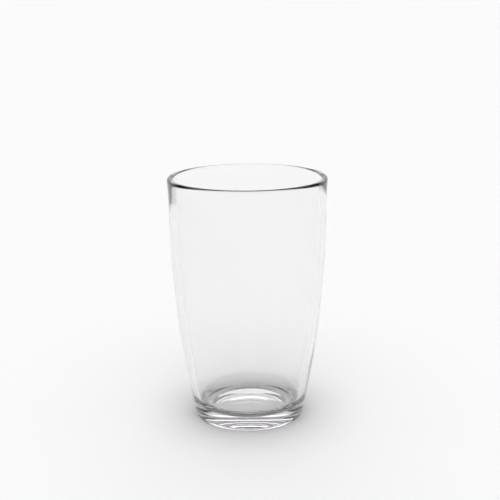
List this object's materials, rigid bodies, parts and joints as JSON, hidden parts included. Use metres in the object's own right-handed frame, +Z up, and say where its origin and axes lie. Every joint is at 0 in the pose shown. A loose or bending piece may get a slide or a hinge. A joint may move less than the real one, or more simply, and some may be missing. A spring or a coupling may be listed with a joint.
{
  "type": "pint glass",
  "caption": "Clear pressed drinking glass: a round cup with a gently flared lip, narrowing in a soft curve to a thick solid foot.",
  "frame": {"origin": "middle of the face the glass stands on", "axes": "+Z up, along the axis of the cup towards its mouth; the glass is round about it"},
  "size_m": [0.0854, 0.0854, 0.133],
  "materials": {
    "clear_glass": "fire-polished, smooth and clear"
  },
  "bodies": {
    "root": {"glass_tumbler": "clear_glass"}
  },
  "joints": []
}
